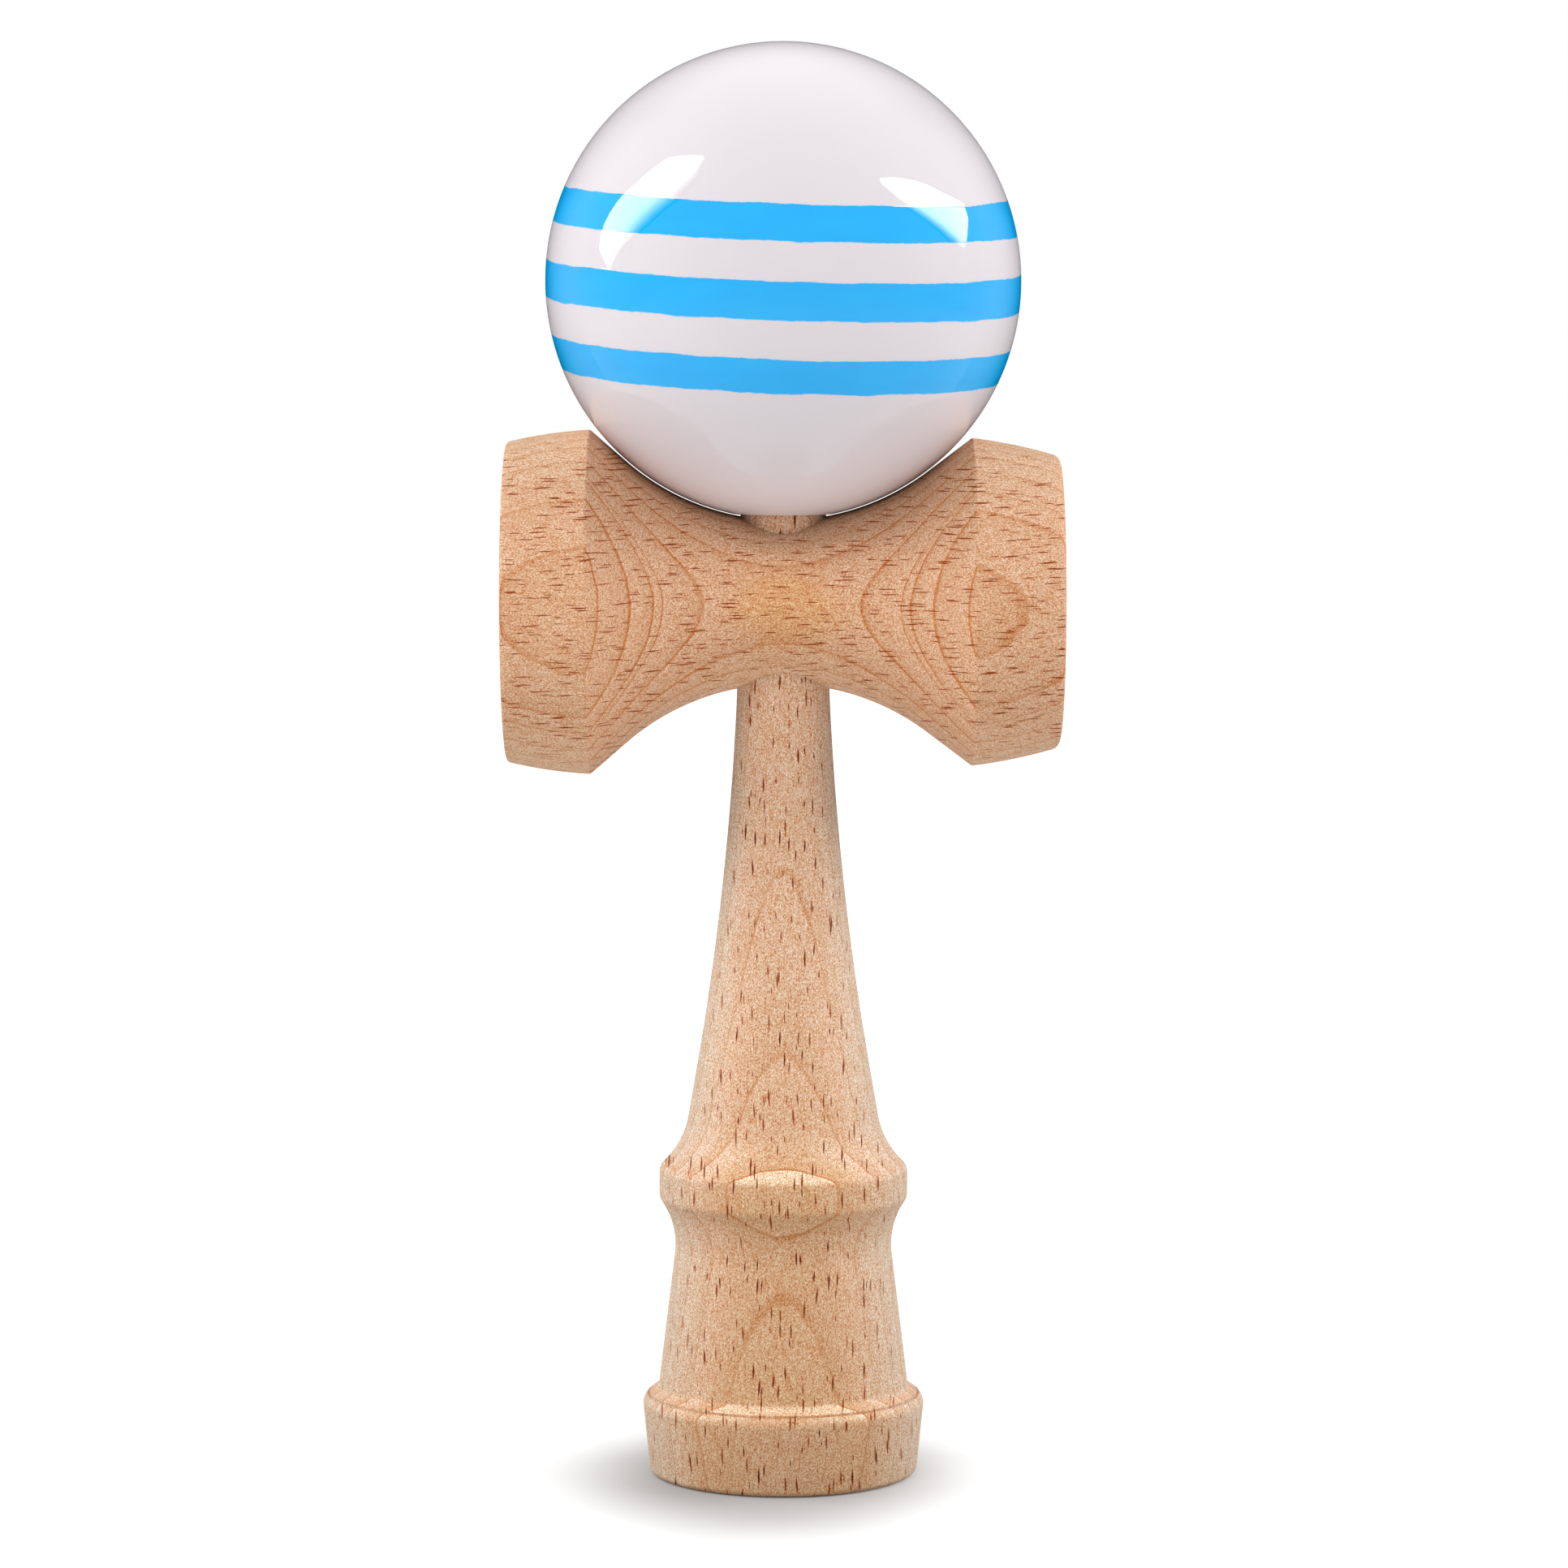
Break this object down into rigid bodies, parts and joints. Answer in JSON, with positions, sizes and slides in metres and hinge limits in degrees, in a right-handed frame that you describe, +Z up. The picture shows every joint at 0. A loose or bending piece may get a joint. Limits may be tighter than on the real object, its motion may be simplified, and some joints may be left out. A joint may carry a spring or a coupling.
{
  "type": "cup and ball toy",
  "caption": "Turned wooden cup and ball toy: a spiked handle with a cup in its foot, a crosspiece with a large and a small cup, and a drilled, banded ball standing on the spike.",
  "frame": {"origin": "middle of the foot's rim, on the surface that the toy stands on", "axes": "+Z up along the handle and the spike, +X towards the small cup along the crosspiece, +Y to the back, where the crosspiece's cord hole is"},
  "size_m": [0.07, 0.06, 0.1819],
  "materials": {
    "handle_wood": "natural beech, sanded, grain along the handle",
    "crosspiece_wood": "natural beech, sanded, grain along the crosspiece",
    "ball_lacquer": "gloss white lacquer on wood, with light blue painted bands"
  },
  "bodies": {
    "handle": {"handle": "handle_wood"},
    "crosspiece": {"crosspiece": "crosspiece_wood"},
    "ball": {"ball": "ball_lacquer"}
  },
  "joints": [
    {"name": "crosspiece_lift", "type": "slide", "parent": "handle", "child": "crosspiece", "axis": [0, 0, 1], "range_m": [0, 0.075]},
    {"name": "ball_lift", "type": "slide", "parent": "crosspiece", "child": "ball", "axis": [0, 0, 1], "range_m": [0, 0.045]}
  ]
}
